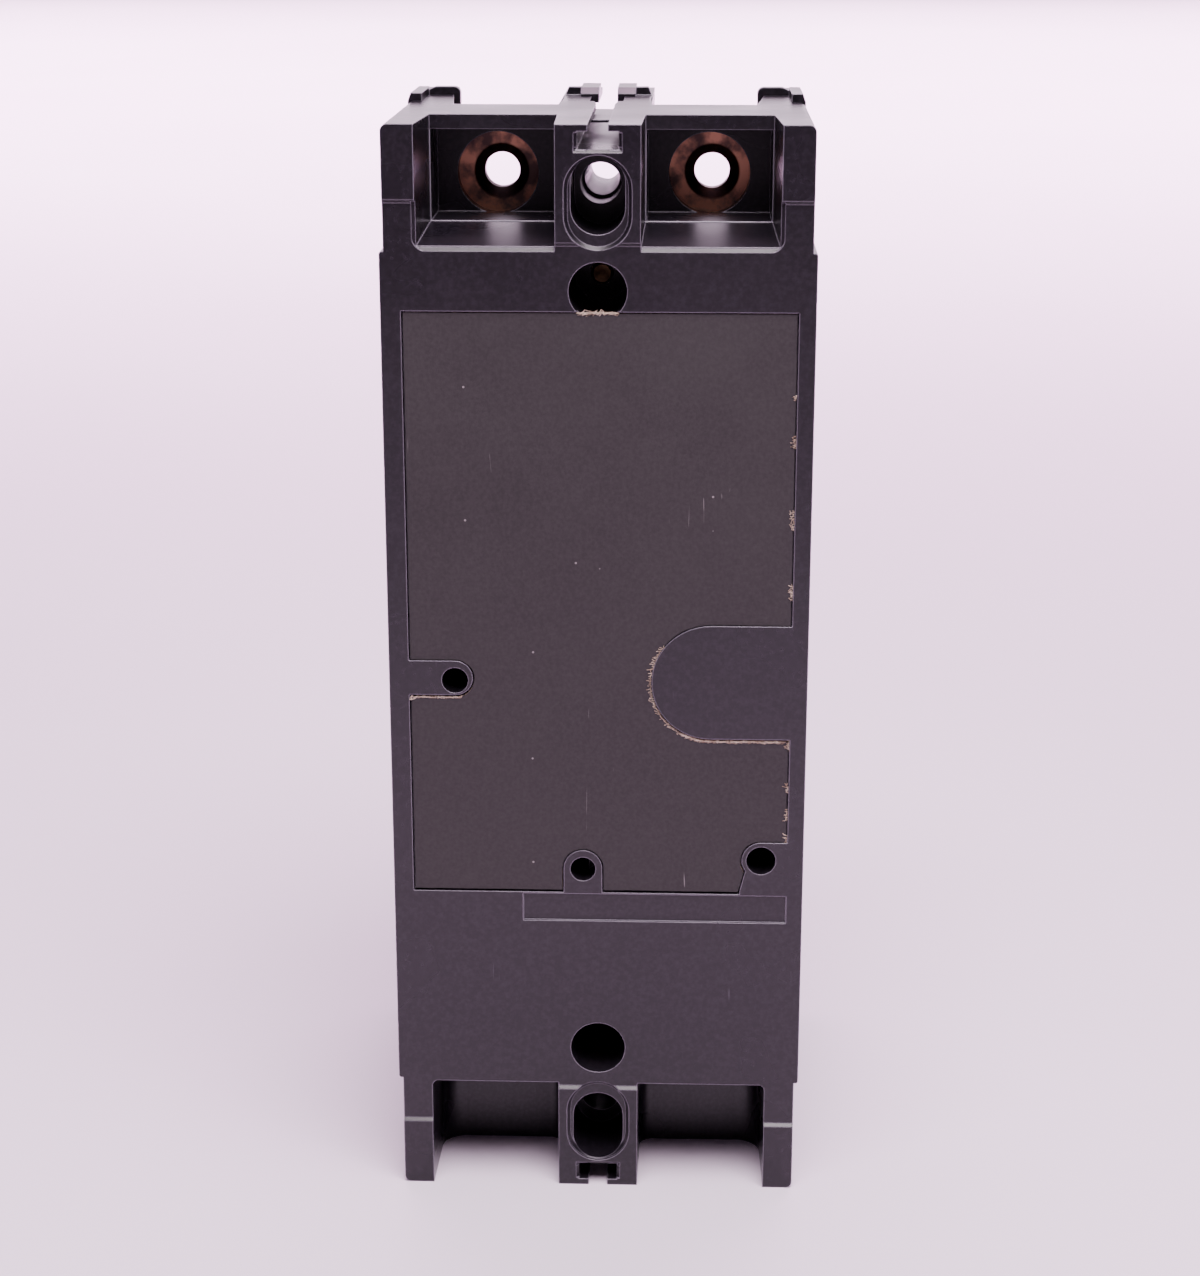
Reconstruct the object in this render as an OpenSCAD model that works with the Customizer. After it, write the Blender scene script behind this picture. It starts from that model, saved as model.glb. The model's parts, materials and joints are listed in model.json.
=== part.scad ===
// Two-pole molded case breaker: base, cover, toggle mechanism, contacts and trip units.
// Z is up with the line end on top, and the front with the handle looks towards -Y.
// Depth below is counted forward from the back faces of the ears, legs and posts.

/* [Case] */
// Width of the middle of the case
case_w = 49.1; // [48.6:0.1:50]
// Width of the two terminal ends
end_w = 48.1; // [47.8:0.1:48.4]
// Height of the base
case_h = 130; // [129.5:0.5:131]
// Depth of the case in the middle
case_d = 60; // [59:0.5:62]
// Depth of the case at the terminal ends
end_d = 50; // [48:0.5:52]
// Depth where base and cover meet
seam_d = 29; // [28.5:0.5:29.5]
// Thickness of the outer walls
wall = 2; // [1.8:0.1:2.4]
// Half width of the centre posts at the back
post_hw = 4.85; // [4.6:0.05:5]
// Corner radius of the case seen from the front
corner_r = 0.8; // [0.4:0.1:1.2]

/* [Back] */
// How far the ears, legs and posts stand proud of the middle of the back
step_d = 0.4; // [0.3:0.05:0.6]
// Depth of the rear windows at the line end
line_window_d = 12; // [11:0.5:13]
// Depth of the rear windows at the load end
load_window_d = 12.2; // [11.5:0.1:12.4]
// Radius of the cover screw recesses
screw_recess_r = 3.3; // [3:0.1:3.6]
// Depth of the cover screw recesses
screw_recess_d = 15; // [13:0.5:17]
// Height of the cover screws from each end
cover_screw_z = 18.5; // [18:0.1:19]
// Thickness of the fibre sheet
sheet_t = 1; // [0.8:0.1:1.2]
// Width of the phase barrier slots
slot_w = 2.3; // [2:0.1:2.5]

/* [Mounting and terminals] */
// Distance between the two mounting bores
mount_pitch = 115; // [114:0.5:116]
// Radius of the mounting bores behind their step
mount_r = 2.35; // [2.2:0.05:2.5]
// Radius of the mounting bores at their narrow end
mount_neck_r = 1.75; // [1.7:0.05:1.8]
// Distance between poles
pole_pitch = 25; // [24.8:0.1:25.2]
// Height of the terminal holes from each end
terminal_z = 7.5; // [7:0.1:8]
// Radius of the tapped terminal holes
terminal_r = 2.1; // [2.05:0.05:2.2]
// Sideways offset of the holes in the line straps
hole_set = 0.3; // [0:0.1:0.4]
// Half width of a terminal strap
strap_hw = 6; // [5.5:0.25:6.5]
// Depth of the back of a terminal strap
strap_back = 22; // [21.5:0.25:22.2]
// Thickness of a terminal strap
strap_t = 3; // [2.8:0.1:3]

/* [Handle and toggle] */
// Full swing of the handle
handle_swing = 34; // [30:1:34]
// Distance from the handle pivot to the tip
handle_r = 33.5; // [31:0.5:35]
// Half thickness of the handle
handle_ht = 3; // [2.6:0.1:3.2]
// Half width of the handle
handle_hw = 4; // [3.5:0.1:4.2]
// Opening angle of the contact arms
open_angle = 24; // [22:1:24]
// Radial clearance of the pivot pins
fit = 0.05; // [0.03:0.01:0.08]
// Extra clearance of the link pin in the contact carrier
link_play = 0.35; // [0.3:0.05:0.45]

/* [Springs] */
// Wire thickness of the main spring
main_wire = 0.6; // [0.5:0.05:0.7]
// Number of turns of the main spring
main_turns = 12; // [8:1:14]

/* [Arc chutes] */
// Number of steel plates in each arc chute
plate_count = 7; // [5:1:7]
// Thickness of an arc chute plate
plate_t = 1; // [0.8:0.1:1.2]

/* [Hidden] */
$fn = 64;
eps = 0.01;
side_signs = [-1, 1];
handle_pivot = [36.5, 69];
bar_axis = [27, 68];
link_pivot = [43.2, 68.4];
cradle_pivot = [46.5, 61];
trip_axis = [45, 47];
armature_axis = [38, 35];
pin_r = 1.2;
upper_len = 9.8;
lower_len = 10;
arm_len = 8.8;
mount_z = [(case_h - mount_pitch) / 2, (case_h + mount_pitch) / 2];
pole_x = [pole_pitch / 2, -pole_pitch / 2];
half_swing = handle_swing / 2;
reach = handle_pivot[0] + handle_r * cos(half_swing - asin(handle_ht / handle_r));
y_back = reach / 2;
strap_front = strap_back + strap_t;
// the toggle pin follows from the two link lengths and the open position of the carrier pin
carrier_pin = bar_axis + arm_len * [sin(open_angle), cos(open_angle)];
pin_gap = carrier_pin - link_pivot;
pin_dist = norm(pin_gap);
along = (upper_len * upper_len - lower_len * lower_len + pin_dist * pin_dist) / (2 * pin_dist);
aside = sqrt(upper_len * upper_len - along * along);
toggle_pin = link_pivot + along * pin_gap / pin_dist + aside * [pin_gap[1], -pin_gap[0]] / pin_dist;
spring_bar_r = 15.4;
spring_bar = handle_pivot + spring_bar_r * [cos(half_swing), -sin(half_swing)];
black = [0.16, 0.14, 0.17];
fibre = [0.29, 0.28, 0.29];
copper = [0.72, 0.42, 0.28];
steel = [0.62, 0.63, 0.65];
brass = [0.78, 0.63, 0.34];
silver = [0.85, 0.85, 0.83];
cream = [0.84, 0.8, 0.7];

// a box between two x values, two depths and two heights
module block(x0, x1, d0, d1, z0, z1) {
  translate([x0, y_back - d1, z0]) cube([x1 - x0, d1 - d0, z1 - z0]);
}

// a cylinder that runs forward from one depth to another
module rod_y(x, z, d0, d1, r) {
  translate([x, y_back - d0, z]) rotate([90, 0, 0]) cylinder(r = r, h = d1 - d0);
}

// a cone that runs forward, with its first and last radius
module cone_y(x, z, d0, d1, r0, r1) {
  translate([x, y_back - d0, z]) rotate([90, 0, 0]) cylinder(r1 = r0, r2 = r1, h = d1 - d0);
}

// a cylinder that runs across, at a point given as depth and height
module rod_x(x0, x1, p, r) {
  translate([x0, y_back - p[0], p[1]]) rotate([0, 90, 0]) cylinder(r = r, h = x1 - x0);
}

// a flat shape drawn in depth and height, made thick across the case
module side_plate(x0, x1) {
  translate([x0, y_back, 0]) rotate([90, 0, 90]) linear_extrude(x1 - x0) mirror([1, 0]) children();
}

// a flat shape drawn in x and height, made thick in depth
module front_plate(d0, d1) {
  translate([0, y_back - d0, 0]) rotate([90, 0, 0]) linear_extrude(d1 - d0) children();
}

// a flat shape drawn in x and depth, made thick in height
module level_plate(z0, z1) {
  translate([0, y_back, z0]) linear_extrude(z1 - z0) mirror([0, 1]) children();
}

// turns its children about a cross axis; a positive angle carries the front downwards
module turned(p, a) {
  translate([0, y_back - p[0], p[1]]) rotate([a, 0, 0]) translate([0, p[0] - y_back, -p[1]]) children();
}

// both sides of the centre line
module both_sides() {
  children();
  mirror([1, 0, 0]) children();
}

// both ends of the case
module both_ends() {
  children();
  translate([0, 0, case_h]) mirror([0, 0, 1]) children();
}

// the outline of a link between two points, with round ends
module link_shape(a, b, r) {
  translate(a) circle(r);
  translate(b) circle(r);
  translate(a) rotate(atan2(b[1] - a[1], b[0] - a[0])) translate([0, -r]) square([norm(b - a), 2 * r]);
}

// a rectangle with round corners
module round_rect(x0, x1, z0, z1, r) {
  translate([x0 + r, z0]) square([x1 - x0 - 2 * r, z1 - z0]);
  translate([x0, z0 + r]) square([x1 - x0, z1 - z0 - 2 * r]);
  for (x = [x0 + r, x1 - r]) for (z = [z0 + r, z1 - r]) translate([x, z]) circle(r);
}

// an upright slot with round ends, cut forward from d0 to d1
module oval_y(z0, z1, d0, d1, r) {
  rod_y(0, z0, d0, d1, r);
  rod_y(0, z1, d0, d1, r);
  block(-r, r, d0, d1, z0, z1);
}

// the outline of the case from the front, narrower at both ends
module case_outline() {
  round_rect(-end_w / 2, end_w / 2, 0, case_h, corner_r);
  round_rect(-case_w / 2, case_w / 2, 14.1, case_h - 14.1, 0.3);
}

// ---- what base and cover share ----

// the T shaped barrier slots at both ends
module barrier_slots(d0, d1) {
  both_ends() {
    block(-slot_w / 2, slot_w / 2, d0, d1, -eps, 1);
    block(-slot_w / 2 - 1.2, slot_w / 2 + 1.2, d0, d1, 0.75, 2.75);
  }
}

// the bevelled mouths of the barrier slots
module slot_mouths() {
  edge = slot_w / 2 + 1.2;
  both_ends() {
    side_plate(-edge - 0.35, edge + 0.35) polygon([[-1, 2.5], [-1, 4.1], [0.35, 2.75], [0.35, 2.5]]);
    both_sides() level_plate(0.9, 2.9)
      polygon([[edge - 1, -1], [edge + 1.35, -1], [edge, 0.35], [edge - 1, 0.35]]);
  }
}

// ---- base ----

// the relief of the middle of the back, with sloped ends at a height from either end
module back_relief(x0, x1, z) {
  side_plate(x0, x1) polygon([[-1, z - 1], [0, z], [step_d, z + step_d], [step_d, case_h - z - step_d],
    [0, case_h - z], [-1, case_h - z + 1]]);
}

// a rear window at the line end, with drafted walls, and the pocket behind the terminal
module line_window() {
  rim = step_d + 0.4;
  intersection() {
    side_plate(0, 30) polygon([[-1, case_h - 13.7], [line_window_d, case_h - 12.2],
      [line_window_d, case_h + 1], [-1, case_h + 1]]);
    level_plate(100, case_h + 1)
      polygon([[post_hw - 0.07, -1], [post_hw + 0.2, line_window_d], [19.8, line_window_d], [20.45, -1]]);
  }
  // bevelled rim, with a round lower corner
  intersection() {
    side_plate(0, 30) polygon([[-1, case_h - 15.45], [rim, case_h - 13.65], [rim, 121.5], [-1, 121.5]]);
    level_plate(100, 121.5) polygon([[post_hw, -1], [post_hw, rim], [20.4, rim], [22.2, -1]]);
    front_plate(-1, rim) {
      translate([0, case_h - 12.45]) square([20.8, 10]);
      translate([0, case_h - 14.05]) square([19.2, 10]);
      translate([19.2, case_h - 12.45]) circle(1.6);
    }
  }
  block(post_hw + 0.35, 19.7, line_window_d - eps, 20, case_h - 12.1, case_h - 1.7);
  rod_y(pole_pitch / 2, case_h - terminal_z, 19, strap_back + eps, 4.8);
}

// a rear window at the load end, with round corners against its front wall
module load_window() {
  intersection() {
    side_plate(0, 30) polygon([[-1, -1], [-1, 13.8], [load_window_d, 13.3], [load_window_d, -1]]);
    level_plate(-1, 20) {
      polygon([[post_hw, -1], [post_hw + 0.1, load_window_d - 1.7], [post_hw + 1.8, load_window_d],
        [17.25, load_window_d], [20.25, load_window_d - 3], [20.45, -1]]);
      translate([post_hw + 1.8, load_window_d - 1.7]) circle(1.7);
      translate([17.25, load_window_d - 3]) circle(3);
    }
    front_plate(-1, 20) {
      translate([0, -1]) square([22, 13.9]);
      translate([0, -1]) square([19.55, 15]);
      translate([19.55, 12.9]) circle(0.9);
    }
  }
}

// the stepped oval recess that a mounting bore opens into
module mount_recess() {
  both_ends() {
    oval_y(6.5, 9.15, -1, 10, 3.05);
    oval_y(7.15, 10.1, -1, step_d, 3.8);
    for (z = [7.15, 10.1]) cone_y(0, z, step_d - eps, step_d + 0.4, 3.8, 3.4);
    level_plate(7.15, 10.1)
      polygon([[-3.8, step_d - eps], [-3.4, step_d + 0.4], [3.4, step_d + 0.4], [3.8, step_d - eps]]);
  }
}

// the lands that the fibre sheet is cut around: a wide tongue, a small tongue, a lug and a corner
module land_shapes(gap) {
  translate([-13.25, 65.6]) circle(6.95 + gap);
  translate([-24, 58.65 - gap]) square([10.75, 13.9 + 2 * gap]);
  translate([16.8, 65.9]) circle(2.1 + gap);
  translate([16.8, 63.8 - gap]) square([7, 4.2 + 2 * gap]);
  translate([1.8, 42.1]) circle(2.3 + gap);
  translate([-0.5 - gap, 38]) square([4.6 + 2 * gap, 4.1]);
  translate([-19.5, 43.35]) circle(2.3 + gap);
  polygon([[-24, 38], [-17 + gap, 38], [-17 + gap, 39.5], [-17.6 + gap, 41.8], [-19.5, 43.35],
    [-19.5, 45.65 + gap], [-24, 45.65 + gap]]);
}

// the shallow recesses of the back, with the lands left standing
module sheet_recess() {
  difference() {
    block(-22.6, 22.2, -1, step_d + sheet_t + 0.2, 39, 109.2);
    front_plate(-2, 3) land_shapes(0);
  }
  block(-22.6, 9, -1, step_d + 0.35, 35.3, 38.8);
}

// the small holes through the lands
module land_holes() {
  rod_y(16.8, 65.6, -1, 4, 1.55);
  rod_y(1.8, 42, -1, 4, 1.5);
  rod_y(-19.5, 43.35, -1, 4, 1.75);
}

// the hollow inside the base
module base_cavity() {
  strap_x0 = pole_pitch / 2 - strap_hw - 0.1;
  strap_x1 = pole_pitch / 2 + strap_hw + 0.1;
  both_sides() {
    block(1.25, case_w / 2 - wall, 3, seam_d + 1, 32, 56.8);
    block(1.25, case_w / 2 - wall, 3, strap_back, 84, 110);
    block(9.5, case_w / 2 - wall, 3, seam_d + 1, 55, 85);
    block(1.25, case_w / 2 - wall, strap_front, seam_d + 1, 84, 114);
    block(1.25, case_w / 2 - wall, strap_front, seam_d + 1, 16.5, 33);
    block(1.25, case_w / 2 - wall, 14, strap_back, 24, 33);
    block(strap_x0, strap_x1, strap_back, strap_front + eps, 84, case_h - 1.9);
    block(strap_x0, strap_x1, strap_back, strap_front + eps, 1.4, 34);
  }
  block(-9.6, 9.6, 3, seam_d + 1, 61, 78);
  block(-9.6, 9.6, 20, seam_d + 1, 54, 86);
}

// the U shaped bearings of the contact bar, open to the front
module bar_bearings() {
  both_sides() {
    rod_x(20.5, 22.2, bar_axis, 2.2 + fit);
    block(20.5, 22.2, bar_axis[0], seam_d + 1, bar_axis[1] - 2.2 - fit, bar_axis[1] + 2.2 + fit);
  }
}

module base() {
  color(black) difference() {
    union() {
      difference() {
        union() {
          front_plate(0, seam_d) case_outline();
          // tongues of the ears and posts that stand up into the cover
          both_ends() both_sides()
            level_plate(eps, 9) polygon([[18.4, seam_d - 1], [19.25, 38], [22.3, 38], [22.3, seam_d - 1]]);
          both_ends() block(-post_hw - 0.5, post_hw + 0.5, seam_d - 1, 36, eps, 13);
        }
        base_cavity();
      }
      // ribs that carry the contact bar
      both_sides() block(20.6, case_w / 2 - wall + eps, 3 - eps, seam_d, 60, 76);
      // bosses of the cover screws
      both_ends() rod_y(0, cover_screw_z, 3 - eps, seam_d, 5.2);
    }
    bar_bearings();
    both_sides() {
      line_window();
      load_window();
      back_relief(0, 30, 13);
      back_relief(19, 30, 8.3);
      // wells in front of the straps
      both_ends() level_plate(-eps, 13.2)
        polygon([[post_hw + 0.7, strap_front], [post_hw + 0.7, 40], [19.4, 40], [18.1, strap_front]]);
    }
    mount_recess();
    // mounting bores: a step, then a draft down to a straight neck
    for (z = mount_z) {
      rod_y(0, z, 0, 15.6, mount_r);
      cone_y(0, z, 15.5, 24 + eps, mount_r - 0.3, mount_neck_r);
      rod_y(0, z, 24, 40, mount_neck_r);
      cone_y(0, z, seam_d, 40, 3.9, 4);
    }
    both_ends() {
      rod_y(0, cover_screw_z, -1, screw_recess_d, screw_recess_r);
      rod_y(0, cover_screw_z, 10, 40, 1.35);
    }
    difference() {
      barrier_slots(-1, 40);
      // thin bridge left across the slot of the line end
      block(-5, 5, 17, 23.4, case_h - 1.4, case_h - 1.05);
    }
    slot_mouths();
    // the neck of the line end slot opens out towards the cover
    both_sides() level_plate(case_h - 1.1, case_h + 1)
      polygon([[0, 26.2], [slot_w / 2, 26.2], [1.5, 29.5], [2.05, 29.7], [2.05, 40], [0, 40]]);
    sheet_recess();
    land_holes();
    // blind holes behind the load terminal screws
    for (x = pole_x) rod_y(x, terminal_z, 13, strap_back + 1, 2.7);
  }
}

// ---- cover ----

// the lip of the cover that stands proud of the base at the line end
module line_lip() {
  both_sides() {
    front_plate(38, 39.2) {
      polygon([[19.22, 118], [19.22, case_h + 1], [21.5, case_h + 1], [22.4, case_h + 0.6], [22.4, 118]]);
      translate([19.22, case_h + 0.2]) circle(0.8);
      translate([18.42, 118]) square([0.9, case_h - 117.8]);
    }
    front_plate(seam_d, 39.2) polygon([[22.35, 120], [22.35, case_h + 0.95], [23.7, case_h + 0.95],
      [24.05, case_h], [24.05, 120]]);
    front_plate(38, 39.2)
      polygon([[3.3, 118], [3.3, case_h + 1], [4.95, case_h + 1], [5.35, case_h], [5.35, 118]]);
  }
  side_plate(-3.4, 3.4) polygon([[36, 118], [36, case_h + 0.35], [37.3, case_h + 1], [44, case_h + 1],
    [44, 118]]);
}

module cover() {
  color(black) difference() {
    union() {
      difference() {
        union() {
          front_plate(seam_d, end_d) case_outline();
          front_plate(end_d - eps, case_d) round_rect(-case_w / 2, case_w / 2, 22, case_h - 22, 0.8);
          // raised frame around the handle
          front_plate(case_d - eps, case_d + 1.5) round_rect(-8, 8, 52, 86, 2);
        }
        // hollow over the mechanism, the arc chutes and the trip units
        both_sides() {
          block(1.25, case_w / 2 - wall, seam_d - 1, case_d - 3, 34, case_h - 24.5);
          block(1.25, case_w / 2 - wall, seam_d - 1, end_d - 3, 16, case_h - 16.5);
          block(post_hw + 0.7, 19.6, seam_d - 1, end_d + 1, -1, 13.2);
          block(post_hw + 0.7, 19.6, seam_d - 1, end_d + 1, case_h - 13.2, case_h + 3);
          both_ends() block(18.2, 22.4, seam_d - 1, 38, -1, 9.1);
        }
        block(-9.6, 9.6, seam_d - 1, case_d - 3, 38, 90);
        both_ends() block(-post_hw - 0.6, post_hw + 0.6, seam_d - 1, 36, -1, 13.2);
      }
      line_lip();
      // bosses of the cover screws
      both_ends() rod_y(0, cover_screw_z, seam_d, end_d, 4.6);
      // sleeve around the trip button
      rod_y(-14, 51, 48, case_d - 1, 4.2);
    }
    // handle opening, wider towards the front
    block(-handle_hw - 0.4, handle_hw + 0.4, case_d - 4, case_d + 3,
      handle_pivot[1] - 11.2, handle_pivot[1] + 11.2);
    // trip button hole
    rod_y(-14, 51, case_d - 4, case_d + 3, 2.1);
    rod_y(-14, 51, 47, case_d - 3, 3);
    rod_y(-14, 51, 47, 48.6, 3.7);
    // wells for the heads of the mounting screws
    for (z = mount_z) cone_y(0, z, seam_d - 1, end_d + 1, 3.9, 4.2);
    both_ends() {
      rod_y(0, cover_screw_z, seam_d - 1, end_d + 1, 1.7);
      rod_y(0, cover_screw_z, end_d - 4.7, end_d + 12, 3.3);
    }
    barrier_slots(seam_d - 2, end_d + 1);
    block(-slot_w / 2, slot_w / 2, 30, 60, case_h - 2, case_h + 2);
    // shallow field for the rating plate
    block(-21, 21, case_d - 0.6, case_d + 1, 92, 104);
  }
}

module insulation_sheet() {
  color(fibre) difference() {
    block(-22.42, 22, step_d + 0.15, step_d + 0.15 + sheet_t, 39.25, 109.05);
    translate([0, 0, -0.12]) front_plate(-1, 3) land_shapes(0.2);
  }
}

module cover_screws() {
  color(steel) both_ends() {
    rod_y(0, cover_screw_z, screw_recess_d - 0.5, end_d - 4.7, 1.3);
    cone_y(0, cover_screw_z, screw_recess_d - 1, screw_recess_d - 0.5 + eps, 1.02, 1.3);
    difference() {
      rod_y(0, cover_screw_z, end_d - 4.7 - eps, end_d - 2.7, 2.9);
      block(-3, 3, end_d - 3.6, end_d, cover_screw_z - 0.35, cover_screw_z + 0.35);
    }
  }
}

module rating_plate() {
  color(silver) block(-20.7, 20.7, case_d - 0.6, case_d - 0.2, 92.3, 103.7);
}

// ---- current path ----

module line_terminal(x) {
  z_hole = case_h - terminal_z;
  x_hole = x - hole_set;
  color(copper) difference() {
    block(x - strap_hw, x + strap_hw, strap_back, strap_front, 96, case_h - 2);
    rod_y(x_hole, z_hole, 0, 60, terminal_r);
    cone_y(x_hole, z_hole, strap_back - eps, strap_back + 1.1, 3.25, terminal_r);
    block(x - 10, x - 3.5, 0, 60, 95, 110);
    block(x + 3.5, x + 10, 0, 60, 95, 110);
  }
}

module load_terminal(x) {
  color(copper) difference() {
    union() {
      block(x - strap_hw, x + strap_hw, strap_back, strap_front, 1.5, 16);
      block(x - 3.5, x + 3.5, strap_back, strap_front, 16 - eps, 24);
    }
    rod_y(x, terminal_z, 0, 60, terminal_r);
  }
}

module load_screws() {
  color(brass) for (x = pole_x) difference() {
    union() {
      rod_y(x, terminal_z, 14, 27 + eps, terminal_r - 0.03);
      rod_y(x, terminal_z, 27, 30.5, 4.2);
    }
    block(x - 5, x + 5, 29, 32, terminal_z - 0.6, terminal_z + 0.6);
    block(x - 0.6, x + 0.6, 29, 32, terminal_z - 2.6, terminal_z + 2.6);
  }
}

module load_washers() {
  color(steel) for (x = pole_x) difference() {
    rod_y(x, terminal_z, strap_front, 26.2, 5);
    rod_y(x, terminal_z, 20, 30, 2.5);
  }
}

module load_spring_washers() {
  color(steel) for (x = pole_x) difference() {
    rod_y(x, terminal_z, 26.2, 27, 4.4);
    rod_y(x, terminal_z, 20, 30, 2.5);
    block(x - 0.4, x + 0.4, 25, 28, terminal_z, terminal_z + 6);
  }
}

module fixed_contacts() {
  color(silver) for (x = pole_x) block(x - 2.5, x + 2.5, strap_front, strap_front + 1.3, 97, 102);
}

module moving_arm(x) {
  color(copper) turned(bar_axis, open_angle) difference() {
    side_plate(x - 1.5, x + 1.5) {
      link_shape([28.6, 62], [30, 84], 2.2);
      polygon([[27.8, 84], [32.2, 84], [31.2, 102.5], [27.8, 102.5]]);
    }
    rod_x(x - 5, x + 5, [30.6, 74], 1.05);
  }
}

module moving_contacts() {
  color(silver) turned(bar_axis, open_angle)
    for (x = pole_x) block(x - 1.5, x + 1.5, strap_front + 1.35, 27.8, 97.5, 101.5);
}

module contact_bar() {
  color(cream) turned(bar_axis, open_angle) {
    difference() {
      union() {
        rod_x(-20.4, 20.4, bar_axis, 4);
        both_sides() rod_x(20.4 - eps, 22, bar_axis, 2.2);
        for (x = pole_x) side_plate(x - 3.2, x + 3.2)
          polygon([[23, 62], [34.8, 62], [34.8, 79], [30, 79], [23, 72]]);
        side_plate(-1.7, 1.7) link_shape(bar_axis, bar_axis + [0, arm_len], 2.3);
      }
      for (x = pole_x) {
        side_plate(x - 1.6, x + 1.6) polygon([[25.5, 55], [33.6, 55], [33.6, 90], [25.5, 90]]);
        rod_x(x - 5, x + 5, [30.6, 74], 1.05);
      }
      rod_x(-5, 5, bar_axis + [0, arm_len], 1.05);
    }
  }
}

module arm_pins() {
  color(steel) turned(bar_axis, open_angle) for (x = pole_x) rod_x(x - 3.2, x + 3.2, [30.6, 74], 1);
}

module carrier_pin_rod() {
  color(steel) turned(bar_axis, open_angle) rod_x(-3.6, 3.6, bar_axis + [0, arm_len], 1);
}

module contact_leaf_springs() {
  color(steel) turned(bar_axis, open_angle) for (x = pole_x) side_plate(x - 1.4, x + 1.4)
    polygon([[33.55, 64], [33.55, 78], [33.15, 78], [32.3, 71], [33.15, 64]]);
}

// a woven copper lead from the heater up to a contact arm
module braid(x) {
  color(copper) side_plate(x - 2.2, x + 2.2) {
    translate([20.5, 47]) difference() {
      circle(4.6);
      circle(3.4);
      translate([-10, 0]) square(20);
    }
    translate([15.9, 47 - eps]) square([1.2, 8]);
    translate([20.5, 55 - eps]) intersection() {
      difference() {
        circle(4.6);
        circle(3.4);
      }
      translate([-10, 0]) square([10, 10]);
    }
    translate([23.9, 41]) square([1.2, 6 + eps]);
  }
}

// ---- mechanism ----

module side_frame(s) {
  x0 = s > 0 ? 5.4 : -6.4;
  color(steel) difference() {
    side_plate(x0, x0 + 1) polygon([[20, 56.9], [50, 56.9], [50, 79], [47, 82.5], [20, 82.5], [20, 79],
      [33.2, 79], [33.2, 61], [20, 61]]);
    rod_x(-10, 10, handle_pivot, pin_r);
    rod_x(-10, 10, link_pivot, pin_r);
    rod_x(-10, 10, cradle_pivot, pin_r);
    rod_x(-10, 10, [47, 79.2], pin_r);
  }
}

module frame_spacer() {
  color(steel) {
    rod_x(-6.4, 6.4, [47, 79.2], pin_r);
    rod_x(-5.4, 5.4, [47, 79.2], 1.7);
  }
}

module handle_pivot_studs() {
  color(steel) both_sides() {
    rod_x(5.4, 8.2, handle_pivot, pin_r);
    rod_x(8, 8.5, handle_pivot, 1.8);
  }
}

module link_pivot_pin() {
  color(steel) rod_x(-6.4, 6.4, link_pivot, pin_r);
}

module cradle_pin() {
  color(steel) rod_x(-6.4, 6.4, cradle_pivot, pin_r);
}

module handle_arm() {
  color(steel) turned(handle_pivot, half_swing) {
    both_sides() difference() {
      side_plate(6.7, 7.7) {
        translate(handle_pivot) circle(3);
        polygon([handle_pivot + [0, -3], handle_pivot + [16, -4.2], handle_pivot + [17.5, -4.2],
          handle_pivot + [17.5, 4.2], handle_pivot + [16, 4.2], handle_pivot + [0, 3]]);
      }
      rod_x(5, 9, handle_pivot, pin_r + fit);
      rod_x(5, 9, handle_pivot + [spring_bar_r, 0], 0.8);
    }
    side_plate(-7.7, 7.7) translate(handle_pivot + [16.5, -4.2]) square([1, 8.4]);
  }
}

module spring_bar_rod() {
  color(steel) rod_x(-7.7, 7.7, spring_bar, 0.8);
}

module handle() {
  color(black) turned(handle_pivot, half_swing) {
    difference() {
      union() {
        // curved shield behind the opening of the cover
        side_plate(-5, 5) difference() {
          translate(handle_pivot) circle(19.9);
          translate(handle_pivot) circle(18.3);
          translate(handle_pivot) rotate(49) translate([-40, 0]) square([80, 40]);
          translate(handle_pivot) rotate(-49) translate([-40, -40]) square([80, 40]);
        }
        side_plate(-handle_hw, handle_hw) intersection() {
          translate(handle_pivot) circle(handle_r);
          translate(handle_pivot + [17.5, 0])
            polygon([[0, -4.2], [2.4, -4.2], [5, -handle_ht - 0.6], [16, -handle_ht], [20, -handle_ht],
              [20, handle_ht], [16, handle_ht], [5, handle_ht + 0.6], [2.4, 4.2], [0, 4.2]]);
        }
      }
      // notch in the lower end of the shield, where the cradle passes
      side_plate(-1.8, 1.8) translate(handle_pivot) rotate(-43) translate([-40, -40]) square([80, 40]);
      // finger grooves
      for (d = [29.5, 31.3]) for (s = side_signs)
        side_plate(-10, 10) translate(handle_pivot + [d, s * (handle_ht + 0.25)]) circle(0.45);
    }
  }
}

module upper_links() {
  color(steel) both_sides() difference() {
    side_plate(3.5, 4.5) link_shape(link_pivot, toggle_pin, 2.3);
    rod_x(3, 5, link_pivot, pin_r + fit);
    rod_x(3, 5, toggle_pin, pin_r);
  }
}

module toggle_pin_rod() {
  color(steel) rod_x(-5, 5, toggle_pin, pin_r);
}

module lower_links() {
  color(steel) both_sides() difference() {
    side_plate(2.2, 3.2) link_shape(toggle_pin, carrier_pin, 2.3);
    rod_x(2, 3.4, toggle_pin, pin_r + fit);
    rod_x(2, 3.4, carrier_pin, 1 + link_play);
  }
}

module cradle() {
  tip = [43, 50.8];
  color(steel) difference() {
    side_plate(-0.9, 0.9) {
      link_shape(cradle_pivot, tip, 1.1);
      translate(cradle_pivot) circle(2.5);
    }
    rod_x(-2, 2, cradle_pivot, pin_r + fit);
  }
}

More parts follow.
